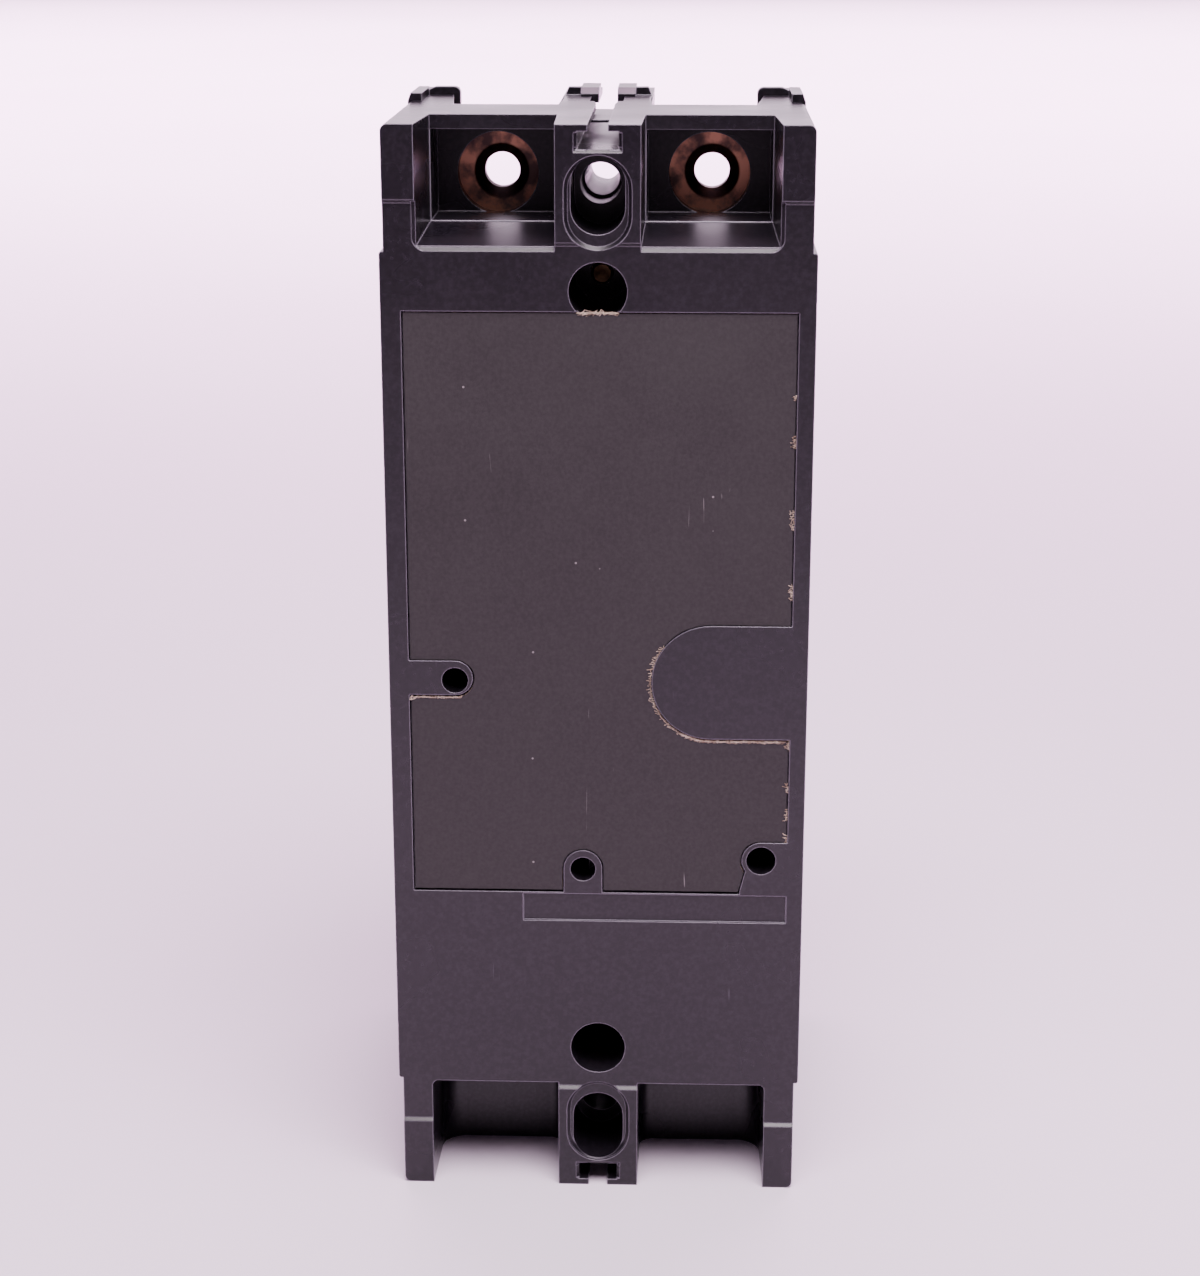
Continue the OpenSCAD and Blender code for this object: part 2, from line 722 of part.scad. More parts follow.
// a coil drawn out along Z from the origin, each turn being two tilted half rings that meet in a small bead
module coil(r, wire, turns, length) {
  pitch = length / turns;
  tilt = asin(pitch / (4 * r));
  for (i = [0 : turns - 1]) translate([0, 0, (i + 0.25) * pitch]) {
    rotate([0, tilt, 0]) rotate_extrude(angle = 180, $fn = 24) translate([r, 0]) circle(wire, $fn = 16);
    translate([0, 0, pitch / 2]) rotate([0, -tilt, 0]) rotate([0, 0, 180])
      rotate_extrude(angle = 180, $fn = 24) translate([r, 0]) circle(wire, $fn = 16);
    translate([-r * cos(tilt), 0, pitch / 4]) sphere(wire * 1.04, $fn = 16);
    translate([r * cos(tilt), 0, 3 * pitch / 4]) sphere(wire * 1.04, $fn = 16);
  }
}

module main_spring() {
  reach_gap = spring_bar - toggle_pin;
  len = norm(reach_gap);
  ang = atan2(reach_gap[1], reach_gap[0]);
  color(steel) translate([0, y_back - toggle_pin[0], toggle_pin[1]]) rotate([90 - ang, 0, 0])
    translate([0, 0, 1.4]) coil(1.3, main_wire / 2, main_turns, len - 2.6);
}

// ---- arc chutes ----

module arc_plates(x) {
  pitch = 15.8 / (plate_count - 1);
  color(steel) for (i = [0 : plate_count - 1]) difference() {
    block(x - 6, x + 6, 30 + i * pitch, 30 + i * pitch + plate_t, 94, 112.5);
    block(x - 2.6, x + 2.6, 20, 60, 90, 103.5);
    rod_y(x, 103.5, 20, 60, 2.6);
  }
}

module arc_boards(x) {
  pitch = 15.8 / (plate_count - 1);
  color(fibre) difference() {
    for (s = side_signs) block(x + 6.75 * s - 0.75, x + 6.75 * s + 0.75, 27, 50, 92.5, 104.9);
    for (i = [0 : plate_count - 1])
      block(x - 6.5, x + 6.5, 30 + i * pitch, 30 + i * pitch + plate_t, 94, 112.5);
  }
}

module vent_plates() {
  color(fibre) for (x = pole_x) difference() {
    block(x - 7.5, x + 7.5, 29.5, 46.5, 112.9, 113.4);
    for (i = [-2 : 2]) block(x + i * 2.6 - 0.5, x + i * 2.6 + 0.5, 33, 43, 112, 114);
  }
}

// ---- trip units ----

module heater(x) {
  color(copper) {
    block(x - 3, x + 3, strap_front, 29.5, 16.6, 20);
    block(x - 3, x + 3, 28, 29.5, 20 - eps, 41);
    block(x - 3, x + 3, 25.1, 29.5, 41 - eps, 44);
  }
}

module bimetal(x) {
  color(brass) {
    block(x - 3, x + 3, 29.5, 33, 16.5, 20.5);
    block(x - 3, x + 3, 32, 33, 20.5 - eps, 45);
  }
}

module calibration_screws() {
  color(brass) for (x = pole_x) {
    rod_y(x - 1.8, 43, 33, 37.5, 0.7);
    rod_y(x - 1.8, 43, 33, 33.8, 1.3);
  }
}

module magnet_yoke(x) {
  color(steel) {
    block(x - 6, x + 6, 25.4, 26.9, 22, 32);
    for (s = side_signs) block(x + 5.4 * s - 0.6, x + 5.4 * s + 0.6, 26.9 - eps, 36, 22, 32);
    for (s = side_signs) difference() {
      block(x + 5.4 * s - 0.6, x + 5.4 * s + 0.6, 34, 40, 32 - eps, 37);
      rod_x(x - 10, x + 10, armature_axis, 0.9);
      block(x - 10, x + 10, 30, 36.4, 33.5, 38);
    }
  }
}

module armature_pins() {
  color(steel) for (x = pole_x) rod_x(x - 6, x + 6, armature_axis, 0.9);
}

module armature(x) {
  color(steel) difference() {
    union() {
      rod_x(x - 4.5, x + 4.5, armature_axis, 1.6);
      block(x - 4.6, x + 4.6, 37.2, 38.8, 22, 35);
      block(x + 0.6, x + 3.4, 37.2, 38.8, 35 - eps, 44.5);
    }
    rod_x(x - 10, x + 10, armature_axis, 0.9 + fit);
  }
}

module trip_bar() {
  color(cream) {
    rod_x(-20.4, 20.4, trip_axis, 2.2);
    both_sides() rod_x(20.4 - eps, 22, trip_axis, 1.2);
    for (x = pole_x) side_plate(x - 3.6, x + 3.6)
      polygon([[44, 46.9], [40.4, 44.5], [40.4, 41.6], [41.8, 41.6], [46, 45.6]]);
    side_plate(-1.4, 1.4) polygon([[43.6, 46.5], [44.95, 50.6], [46.4, 50.6], [46.6, 47]]);
    side_plate(-15.6, -12.4) polygon([[43.4, 47.5], [44.2, 52.6], [46.2, 52.6], [45.85, 50], [46.6, 47]]);
  }
}

module trip_bar_brackets() {
  color(steel) both_sides() difference() {
    block(20.8, 21.8, 40, case_d - 3, 43, 51);
    rod_x(20, 24, trip_axis, 1.2 + fit);
  }
}

module trip_button() {
  color([0.75, 0.12, 0.1]) {
    rod_y(-14, 51, 54.5, case_d + 1, 2.05);
    rod_y(-14, 51, 53.3, 54.5 + eps, 2.9);
    rod_y(-14, 51, 47.6, 53.3 + eps, 1);
  }
}

module trip_button_spring() {
  color(steel) translate([-14, y_back - 48.8, 51]) rotate([90, 0, 0]) coil(1.7, 0.25, 5, 4.2);
}

module trip_button_guide() {
  color(steel) difference() {
    rod_y(-14, 51, 48, 48.5, 3.68);
    rod_y(-14, 51, 47, 50, 1.1);
  }
}

module trip_bar_spring() {
  color(steel) translate([5, y_back - 47.6, 47]) rotate([90, 0, 0]) coil(1.4, 0.25, 6, 9.2);
}

base();
cover();
insulation_sheet();
cover_screws();
rating_plate();
line_terminal(pole_x[0]);  // line_terminal_1
line_terminal(pole_x[1]);  // line_terminal_2
load_terminal(pole_x[0]);  // load_terminal_1
load_terminal(pole_x[1]);  // load_terminal_2
load_screws();
load_washers();
load_spring_washers();
fixed_contacts();
moving_arm(pole_x[0]);  // moving_arm_1
moving_arm(pole_x[1]);  // moving_arm_2
moving_contacts();
contact_bar();
arm_pins();
carrier_pin_rod();  // carrier_pin
contact_leaf_springs();
braid(pole_x[0]);  // braid_1
braid(pole_x[1]);  // braid_2
side_frame(1);  // side_frame_1
side_frame(-1);  // side_frame_2
frame_spacer();
handle_pivot_studs();
link_pivot_pin();
cradle_pin();
handle_arm();
spring_bar_rod();  // spring_bar
handle();
upper_links();
toggle_pin_rod();  // toggle_pin
lower_links();
cradle();
main_spring();
arc_plates(pole_x[0]);  // arc_plates_1
arc_plates(pole_x[1]);  // arc_plates_2
arc_boards(pole_x[0]);  // arc_boards_1
arc_boards(pole_x[1]);  // arc_boards_2
vent_plates();
heater(pole_x[0]);  // heater_1
heater(pole_x[1]);  // heater_2
bimetal(pole_x[0]);  // bimetal_1
bimetal(pole_x[1]);  // bimetal_2
calibration_screws();
magnet_yoke(pole_x[0]);  // magnet_yoke_1
magnet_yoke(pole_x[1]);  // magnet_yoke_2
armature_pins();
armature(pole_x[0]);  // armature_1
armature(pole_x[1]);  // armature_2
trip_bar();
trip_bar_brackets();
trip_button();
trip_button_guide();
trip_button_spring();
trip_bar_spring();
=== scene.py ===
# %% [markdown]
# # A molded case breaker, seen from behind
# The object is a small two-pole circuit breaker: two black moulded shells screwed together, with a grey fibre
# sheet let into the flat back. The engineering model already gives every shell, screw and spring its true shape
# and place. This lesson dresses it: each piece gets the look of its real material, the fibre sheet gets its
# rough punched edge as real geometry, and a plain studio shows it all.

import json
import math
import random

import bpy
import bmesh
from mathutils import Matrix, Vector, noise


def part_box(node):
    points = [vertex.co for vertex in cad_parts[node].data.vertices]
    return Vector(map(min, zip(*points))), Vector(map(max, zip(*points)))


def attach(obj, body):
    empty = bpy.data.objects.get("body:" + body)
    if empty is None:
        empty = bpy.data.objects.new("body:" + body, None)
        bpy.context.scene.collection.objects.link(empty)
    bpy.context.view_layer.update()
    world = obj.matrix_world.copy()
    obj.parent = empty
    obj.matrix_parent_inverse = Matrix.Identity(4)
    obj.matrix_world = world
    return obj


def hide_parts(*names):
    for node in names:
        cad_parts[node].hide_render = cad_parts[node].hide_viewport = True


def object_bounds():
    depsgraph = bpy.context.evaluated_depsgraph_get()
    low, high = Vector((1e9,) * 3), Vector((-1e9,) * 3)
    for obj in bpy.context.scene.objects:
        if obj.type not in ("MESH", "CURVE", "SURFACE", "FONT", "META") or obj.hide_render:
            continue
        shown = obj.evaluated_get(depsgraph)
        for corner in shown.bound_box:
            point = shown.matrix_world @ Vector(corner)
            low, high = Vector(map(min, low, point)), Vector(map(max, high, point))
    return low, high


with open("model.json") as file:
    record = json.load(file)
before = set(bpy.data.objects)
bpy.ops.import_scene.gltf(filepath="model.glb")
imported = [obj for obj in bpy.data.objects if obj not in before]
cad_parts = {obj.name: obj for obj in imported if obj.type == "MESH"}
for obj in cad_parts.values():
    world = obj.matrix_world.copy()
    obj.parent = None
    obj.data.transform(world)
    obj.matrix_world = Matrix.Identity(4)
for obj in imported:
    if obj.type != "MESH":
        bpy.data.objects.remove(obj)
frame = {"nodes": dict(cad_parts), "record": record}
cad_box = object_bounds()
MM = 0.001
print("loaded", len(frame["nodes"]), "nodes")

# %% [markdown]
# Colours are written as sRGB hex, the way a colour card gives them, and a shader needs linear light. One function
# does that turn. A second small function adds a shader node with its settings and its links, so that a material
# below reads as a list of what it is made of.

# %% Two helpers for materials
def colour(hex_code):
    parts = [int(hex_code[i:i + 2], 16) / 255 for i in (1, 3, 5)]
    return tuple(p / 12.92 if p <= 0.04045 else ((p + 0.055) / 1.055) ** 2.4 for p in parts) + (1.0,)


def add(tree, kind, sockets=None, **settings):
    made = tree.nodes.new(kind)
    for name, value in settings.items():
        setattr(made, name, value)
    for key, value in (sockets or {}).items():
        if isinstance(value, bpy.types.NodeSocket):
            tree.links.new(value, made.inputs[key])
        else:
            made.inputs[key].default_value = value
    return made


def per_metre(size_mm):
    """How many features of this size fit in a metre, which is what a noise node's Scale means here."""
    return 1000 / size_mm


print("black thermoset in linear light:", [round(c, 4) for c in colour("#0d0a0f")])

# %% [markdown]
# Every material starts the same way: an empty node tree, a Principled shader, and the object's own coordinates
# in metres, which stay with a piece when it moves.

# %% Start a material
def start(name, **fixed):
    material = bpy.data.materials.new(name)
    material.use_nodes = True
    tree = material.node_tree
    shader = tree.nodes["Principled BSDF"]
    for socket, value in fixed.items():
        shader.inputs[socket.replace("_", " ")].default_value = value
    place = add(tree, "ShaderNodeTexCoord").outputs["Object"]
    return material, tree, shader, place


def blotches(tree, place, size_mm, low, high, detail=3.0):
    """A soft mask from 0 to 1 that wanders over the given size."""
    cloud = add(tree, "ShaderNodeTexNoise",
                {"Vector": place, "Scale": per_metre(size_mm), "Detail": detail, "Roughness": 0.6})
    return add(tree, "ShaderNodeMapRange",
               {"Value": cloud.outputs["Fac"], "From Min": low, "From Max": high}).outputs["Result"]


def mix(tree, mask, a, b):
    """Blend two colours by a mask."""
    return add(tree, "ShaderNodeMix", {0: mask, 6: a, 7: b}, data_type="RGBA").outputs[2]


def scratches(tree, place, turn, spacing_mm, width):
    """Thin straight lines: noise drawn out along one direction, cut to a narrow band, and broken up."""
    turned = add(tree, "ShaderNodeMapping",
                 {"Vector": place, "Rotation": turn, "Scale": (1, 1, 0.05)}).outputs["Vector"]
    wave = add(tree, "ShaderNodeTexNoise", {"Vector": turned, "Scale": per_metre(spacing_mm), "Detail": 0.0})
    off = add(tree, "ShaderNodeMath", {0: wave.outputs["Fac"], 1: 0.5}, operation="SUBTRACT")
    size = add(tree, "ShaderNodeMath", {0: off.outputs[0]}, operation="ABSOLUTE")
    line = add(tree, "ShaderNodeMapRange",
               {"Value": size.outputs[0], "From Min": width, "From Max": 0.0}).outputs["Result"]
    where = blotches(tree, place, 6, 0.66, 0.72, 2.0)
    return add(tree, "ShaderNodeMath", {0: line, 1: where}, operation="MULTIPLY").outputs[0]


def edge_wear_and_highlight(tree, radius_mm):
    """1 on sharp outer edges and 0 on flat faces, found by comparing a rounded normal with the true one."""
    soft = add(tree, "ShaderNodeBevel", {"Radius": radius_mm * MM}, samples=6).outputs["Normal"]
    true = add(tree, "ShaderNodeNewGeometry").outputs["Normal"]
    dot = add(tree, "ShaderNodeVectorMath", {0: soft, 1: true}, operation="DOT_PRODUCT").outputs["Value"]
    mask = add(tree, "ShaderNodeMapRange", {"Value": dot, "From Min": 0.995, "From Max": 0.8}).outputs["Result"]
    return soft, mask


print("material helpers ready")

# %% [markdown]
# The shells are a mineral-filled phenolic thermoset, pressed in a polished steel mould. It is nearly black with a
# faint violet cast, semi-gloss, with cloudy gloss where the mould released unevenly. Handling leaves hair-thin pale
# scratches, and every edge keeps a tiny round that catches the light. A bevel node gives that round to the
# shading without touching the engineering mesh, and the same round marks where the edges are painted paler:
# partly rubbed wear, partly a painted highlight.

# %% Moulded phenolic
def moulded_phenolic(name, dark, light):
    material, tree, shader, place = start(name, IOR=1.55, Specular_IOR_Level=0.32)
    cloud = blotches(tree, place, 22, 0.35, 0.7)
    # the filler is a fine mineral flour: drawn at 0.5 mm, coarser than real, so that it shows
    flour = blotches(tree, place, 0.5, 0.4, 0.75, 2.0)
    body = mix(tree, cloud, colour(dark), colour(light))
    body = mix(tree, add(tree, "ShaderNodeMath", {0: flour, 1: 0.12}, operation="MULTIPLY").outputs[0],
               body, colour("#4a4350"))
    marks = add(tree, "ShaderNodeMath", {
        0: scratches(tree, place, (0.3, 0.9, 0.2), 3.0, 0.006),
        1: scratches(tree, place, (1.1, -0.4, 0.8), 2.4, 0.005)}, operation="MAXIMUM").outputs[0]
    round_normal, edge = edge_wear_and_highlight(tree, 0.22)
    body = mix(tree, add(tree, "ShaderNodeMath", {0: marks, 1: 0.35}, operation="MULTIPLY").outputs[0],
               body, colour("#8d8494"))
    # the edges are painted paler: partly rubbed wear, partly a painted highlight on the rounded edge
    body = mix(tree, add(tree, "ShaderNodeMath", {0: edge, 1: 0.6}, operation="MULTIPLY").outputs[0],
               body, colour("#a79fae"))
    tree.links.new(body, shader.inputs["Base Color"])
    gloss = add(tree, "ShaderNodeMapRange", {"Value": cloud, "To Min": 0.24, "To Max": 0.34}).outputs["Result"]
    tree.links.new(gloss, shader.inputs["Roughness"])
    pit = add(tree, "ShaderNodeTexNoise", {"Vector": place, "Scale": per_metre(0.35), "Detail": 2.0})
    skin = add(tree, "ShaderNodeBump", {"Height": pit.outputs["Fac"], "Normal": round_normal,
                                        "Strength": 0.25, "Distance": 0.03 * MM})
    tree.links.new(skin.outputs["Normal"], shader.inputs["Normal"])
    return material


case_phenolic = moulded_phenolic("moulded_phenolic_black", "#0d0a0f", "#110e13")
handle_phenolic = moulded_phenolic("moulded_phenolic_handle", "#1c191b", "#242124")
print("made", case_phenolic.name)

# %% [markdown]
# The sheet is vulcanised fibre: cotton paper treated and pressed until it is as tough as horn. Its face is matte
# and warm grey with soft stains, tiny pale specks and a few short scratches. Where the punch cuts through, the
# undyed tan fibres show, so the cut edge is a material of its own.

# %% Vulcanised fibre, face and cut edge
def vulcanised_fibre_face():
    material, tree, shader, place = start("vulcanised_fibre_grey", IOR=1.5, Specular_IOR_Level=0.35)
    stain = blotches(tree, place, 16, 0.35, 0.68, 4.0)
    # the paper's felted grain is about 0.1 mm: drawn at 0.45 mm so that it shows
    felt = blotches(tree, place, 0.45, 0.35, 0.7, 3.0)
    body = mix(tree, stain, colour("#211e1f"), colour("#292627"))
    body = mix(tree, add(tree, "ShaderNodeMath", {0: felt, 1: 0.3}, operation="MULTIPLY").outputs[0],
               body, colour("#3c3839"))
    speck = add(tree, "ShaderNodeTexVoronoi", {"Vector": place, "Scale": per_metre(2.6)})
    dot = add(tree, "ShaderNodeMapRange",
              {"Value": speck.outputs["Distance"], "From Min": 0.06, "From Max": 0.035}).outputs["Result"]
    rare = add(tree, "ShaderNodeSeparateColor", {"Color": speck.outputs["Color"]}).outputs["Red"]
    some = add(tree, "ShaderNodeMath", {0: rare, 1: 0.86}, operation="GREATER_THAN").outputs[0]
    dust = add(tree, "ShaderNodeMath", {0: dot, 1: some}, operation="MULTIPLY").outputs[0]
    marks = scratches(tree, place, (0.2, 1.2, 0.1), 3.4, 0.005)
    pale = add(tree, "ShaderNodeMath", {0: dust, 1: marks}, operation="MAXIMUM").outputs[0]
    body = mix(tree, add(tree, "ShaderNodeMath", {0: pale, 1: 0.5}, operation="MULTIPLY").outputs[0],
               body, colour("#a49b9d"))
    tree.links.new(body, shader.inputs["Base Color"])
    rough = add(tree, "ShaderNodeMapRange", {"Value": stain, "To Min": 0.55, "To Max": 0.72}).outputs["Result"]
    tree.links.new(rough, shader.inputs["Roughness"])
    grain = add(tree, "ShaderNodeTexNoise", {"Vector": place, "Scale": per_metre(0.4), "Detail": 4.0})
    skin = add(tree, "ShaderNodeBump", {"Height": grain.outputs["Fac"], "Strength": 0.35, "Distance": 0.04 * MM})
    tree.links.new(skin.outputs["Normal"], shader.inputs["Normal"])
    return material


def vulcanised_fibre_cut():
    material, tree, shader, place = start("vulcanised_fibre_cut_edge", IOR=1.5, Roughness=0.9)
    # the torn fibres lie in layers about 0.15 mm apart
    layer = blotches(tree, place, 0.3, 0.35, 0.65, 4.0)
    body = mix(tree, layer, colour("#5d4c42"), colour("#b09a86"))
    tree.links.new(body, shader.inputs["Base Color"])
    return material


fibre_face = vulcanised_fibre_face()
fibre_cut = vulcanised_fibre_cut()
print("made", fibre_face.name, "and", fibre_cut.name)

# %% [markdown]
# The metals: rolled copper kept bright inside the case, zinc-plated steel with its faint milky bloom, yellow
# passivated brass, brass that age has browned, silver contact pads, dull spring wire and an anodised plate. Each is
# one recipe with its own colour, roughness and scale of tarnish.

# %% Metals
def metal(name, clean, tarnish, rough, bloom_mm, grain_mm):
    material, tree, shader, place = start(name, Metallic=1.0)
    bloom = blotches(tree, place, bloom_mm, 0.38, 0.66, 4.0)
    tree.links.new(mix(tree, bloom, colour(clean), colour(tarnish)), shader.inputs["Base Color"])
    dull = add(tree, "ShaderNodeMapRange",
               {"Value": bloom, "To Min": rough, "To Max": min(1.0, rough + 0.2)}).outputs["Result"]
    tree.links.new(dull, shader.inputs["Roughness"])
    rolled = add(tree, "ShaderNodeTexNoise", {"Vector": place, "Scale": per_metre(grain_mm), "Detail": 3.0})
    skin = add(tree, "ShaderNodeBump", {"Height": rolled.outputs["Fac"], "Strength": 0.2, "Distance": 0.03 * MM})
    tree.links.new(skin.outputs["Normal"], shader.inputs["Normal"])
    return material


bright_copper = metal("rolled_copper_bright", "#c98765", "#9a5c45", 0.3, 4.0, 0.4)
zinc_steel = metal("zinc_plated_steel", "#b9bcc0", "#8d9096", 0.3, 3.0, 0.5)
yellow_brass = metal("passivated_brass", "#cda95c", "#9c7b3d", 0.3, 3.0, 0.5)
silver_alloy = metal("sintered_silver_contact", "#d6d5d2", "#9c9a98", 0.35, 1.5, 0.2)
spring_wire = metal("drawn_spring_wire", "#8d8d92", "#5c5b60", 0.35, 1.0, 0.2)
anodised_plate = metal("anodised_aluminium_plate", "#b4b6ba", "#9ea1a6", 0.45, 6.0, 0.3)
aged_screw = metal("brown_aged_brass", "#b9976f", "#84694c", 0.45, 1.5, 0.3)
print("made 7 metals")

# %% [markdown]
# The line straps are rolled copper browned by heat and air. Round each tapped hole the copper is darkened almost to
# black out to 3.1 mm from the hole's axis, while a ring further out still shows the metal. The mask is the distance
# from the hole's own axis.

# %% Heat-tarnished copper strap
HOLE_TO_TOP = 5.5 * MM  # from the top of the strap down to its tapped hole
HOLE_TO_MIDDLE = 0.3 * MM  # the hole sits this far off the strap's centre line


def tarnished_strap(name, node):
    low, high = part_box(node)
    material, tree, shader, place = start(name, Metallic=1.0)
    hole = Vector(((low.x + high.x) / 2 - HOLE_TO_MIDDLE, 0, high.z - HOLE_TO_TOP))
    flat = add(tree, "ShaderNodeVectorMath", {0: place, 1: (1, 0, 1)}, operation="MULTIPLY").outputs["Vector"]
    away = add(tree, "ShaderNodeVectorMath", {0: flat, 1: hole}, operation="DISTANCE").outputs["Value"]
    dark_disc_round_hole = add(tree, "ShaderNodeMapRange",
                {"Value": away, "From Min": 3.4 * MM, "From Max": 3.1 * MM}).outputs["Result"]
    bloom = blotches(tree, place, 3.5, 0.42, 0.6, 4.0)
    body = mix(tree, bloom, colour("#d9a084"), colour("#7d6560"))
    # the copper within about 3.1 mm of the hole's axis is darkened almost to black
    body = mix(tree, add(tree, "ShaderNodeMath", {0: dark_disc_round_hole, 1: 0.85}, operation="MULTIPLY").outputs[0],
               body, colour("#2e2422"))
    tree.links.new(body, shader.inputs["Base Color"])
    dull = add(tree, "ShaderNodeMapRange", {"Value": bloom, "To Min": 0.42, "To Max": 0.6}).outputs["Result"]
    tree.links.new(dull, shader.inputs["Roughness"])
    rolled = add(tree, "ShaderNodeTexNoise", {"Vector": place, "Scale": per_metre(0.4), "Detail": 3.0})
    skin = add(tree, "ShaderNodeBump", {"Height": rolled.outputs["Fac"], "Strength": 0.3, "Distance": 0.04 * MM})
    tree.links.new(skin.outputs["Normal"], shader.inputs["Normal"])
    return material


strap_1 = tarnished_strap("rolled_copper_tarnished_1", "line_terminal_1")
strap_2 = tarnished_strap("rolled_copper_tarnished_2", "line_terminal_2")
print("made", strap_1.name, "and", strap_2.name)

# %% [markdown]
# Two more moulded plastics are inside and on the front: a natural cream glass-filled thermoset for the contact bar
# and the trip bar, and the red button.

# %% Other plastics
def moulded_plastic(name, dark, light, rough):
    material, tree, shader, place = start(name, IOR=1.5)
    cloud = blotches(tree, place, 5, 0.35, 0.7)
    tree.links.new(mix(tree, cloud, colour(dark), colour(light)), shader.inputs["Base Color"])
    gloss = add(tree, "ShaderNodeMapRange",
                {"Value": cloud, "To Min": rough, "To Max": rough + 0.12}).outputs["Result"]
    tree.links.new(gloss, shader.inputs["Roughness"])
    pit = add(tree, "ShaderNodeTexNoise", {"Vector": place, "Scale": per_metre(0.3), "Detail": 2.0})
    skin = add(tree, "ShaderNodeBump", {"Height": pit.outputs["Fac"], "Strength": 0.2, "Distance": 0.03 * MM})
    tree.links.new(skin.outputs["Normal"], shader.inputs["Normal"])
    return material


cream_thermoset = moulded_plastic("glass_filled_thermoset_cream", "#b8a888", "#cdbf9f", 0.5)
red_plastic = moulded_plastic("moulded_nylon_red", "#8e1c17", "#a5261f", 0.35)
print("made 2 plastics")

# %% [markdown]
# The record names one finish for each node, so the materials are handed out by that list. The straps at the line
# end have seen air and heat, and the copper inside has not, so those differ.

# %% Dress the engineering nodes
FINISH = {
    "case_thermoset": case_phenolic, "vulcanised_fibre": fibre_face, "copper": bright_copper,
    "silver_contact": silver_alloy, "zinc_steel": zinc_steel, "brass_screw": yellow_brass,
    "spring_steel": spring_wire, "cream_thermoset": cream_thermoset, "plate_aluminium": anodised_plate,
    "red_button": red_plastic,
}
SPECIAL = {"handle": handle_phenolic, "line_terminal_1": strap_1, "line_terminal_2": strap_2,
           "cover_screws": aged_screw}
for part in frame["record"]["subparts"]:
    shown = frame["nodes"][part["node"]]
    finish = SPECIAL.get(part["node"], FINISH[part["material_slot"]])
    shown.data.materials.clear()
    shown.data.materials.append(finish)

# %% [markdown]
# The real sheet was punched in one blow, so its outline is a little ragged. The engineering sheet has perfect
# edges. Its outline is read from the back face of that node, cut into short steps, and each step is nudged by a
# few hundredths of a millimetre of noise. A flat filled curve with a thickness turns the outline, notches
# included, back into a solid plate.

# %% Read the outline of the sheet
sheet_node = frame["nodes"]["insulation_sheet"]
sheet_low, sheet_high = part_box("insulation_sheet")


def back_outline(obj, back_y):
    """The closed loops of points round the face that lies at back_y."""
    mesh = bmesh.new()
    mesh.from_mesh(obj.data)
    bmesh.ops.remove_doubles(mesh, verts=mesh.verts, dist=1e-6)
    flat = [f for f in mesh.faces if all(abs(v.co.y - back_y) < 1e-5 for v in f.verts)]
    rim = {}
    for face in flat:
        for edge in face.edges:
            if sum(f in flat for f in edge.link_faces) == 1:
                a, b = edge.verts
                rim.setdefault(a.index, []).append(b.index)
                rim.setdefault(b.index, []).append(a.index)
    spots = {v.index: (v.co.x, v.co.z) for v in mesh.verts}
    mesh.free()
    loops, left = [], set(rim)
    while left:
        first = left.pop()
        walk, here = [first], first
        while True:
            onward = [k for k in rim[here] if k in left]
            if not onward:
                break
            here = onward[0]
            left.discard(here)
            walk.append(here)
        loops.append([spots[k] for k in walk])
    return loops


outline = back_outline(sheet_node, sheet_high.y)
print("outline loops:", [len(l) for l in outline])

# %% Build the punched sheet
def stepped(loop, step):
    """The same closed loop with points no further apart than step."""
    out = []
    for (x0, z0), (x1, z1) in zip(loop, loop[1:] + loop[:1]):
        count = max(1, math.ceil(math.hypot(x1 - x0, z1 - z0) / step))
        out += [(x0 + (x1 - x0) * i / count, z0 + (z1 - z0) * i / count) for i in range(count)]
    return out


# vector noise starts from the clock unless it is given a seed, and the sheet has to come out the same each time
noise.seed_set(4)


def ragged(x, z, amount):
    """Move a point by noise at two sizes, 1.6 mm and 0.5 mm."""
    wide = noise.noise_vector(Vector((x, z, 0)) / (1.6 * MM))
    fine = noise.noise_vector(Vector((x, z, 7 * MM)) / (0.5 * MM))
    return x + (wide.x + 0.6 * fine.x) * amount, z + (wide.y + 0.6 * fine.y) * amount


sheet_curve = bpy.data.curves.new("punched_sheet", "CURVE")
sheet_curve.dimensions = "2D"
sheet_curve.fill_mode = "BOTH"
sheet_curve.extrude = (sheet_high.y - sheet_low.y) / 2
for loop in outline:
    points = [ragged(x, z, 0.06 * MM) for x, z in stepped(loop, 0.35 * MM)]
    spline = sheet_curve.splines.new("POLY")
    spline.points.add(len(points) - 1)
    for point, (x, z) in zip(spline.points, points):
        point.co = (x, z, 0, 1)
    spline.use_cyclic_u = True
drawn = bpy.data.objects.new("punched_sheet_drawn", sheet_curve)
sheet_mesh = bpy.data.meshes.new_from_object(drawn)
bpy.data.objects.remove(drawn)
middle_y = (sheet_low.y + sheet_high.y) / 2
for vertex in sheet_mesh.vertices:
    x, z, depth = vertex.co
    vertex.co = (min(max(x, sheet_low.x), sheet_high.x), middle_y - depth,
                 min(max(z, sheet_low.z), sheet_high.z))
punched_sheet = bpy.data.objects.new("punched_sheet", sheet_mesh)
bpy.context.collection.objects.link(punched_sheet)
sheet_mesh.materials.clear()
sheet_mesh.materials.append(fibre_face)
sheet_mesh.materials.append(fibre_cut)
for face in sheet_mesh.polygons:
    face.material_index = 0 if abs(face.normal.y) > 0.7 else 1
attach(punched_sheet, "case")
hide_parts("insulation_sheet")
print("punched sheet:", len(sheet_mesh.polygons), "faces")

# %% [markdown]
# A punch tears the last fibres instead of cutting them. Undyed cotton stands up round the tongue and along the
# notch, in tufts down one side of the sheet, and a few threads lie under the upper screw recess. Each fibre is a
# short bent line of five points, and a round bevel on one curve turns them all into thin threads.

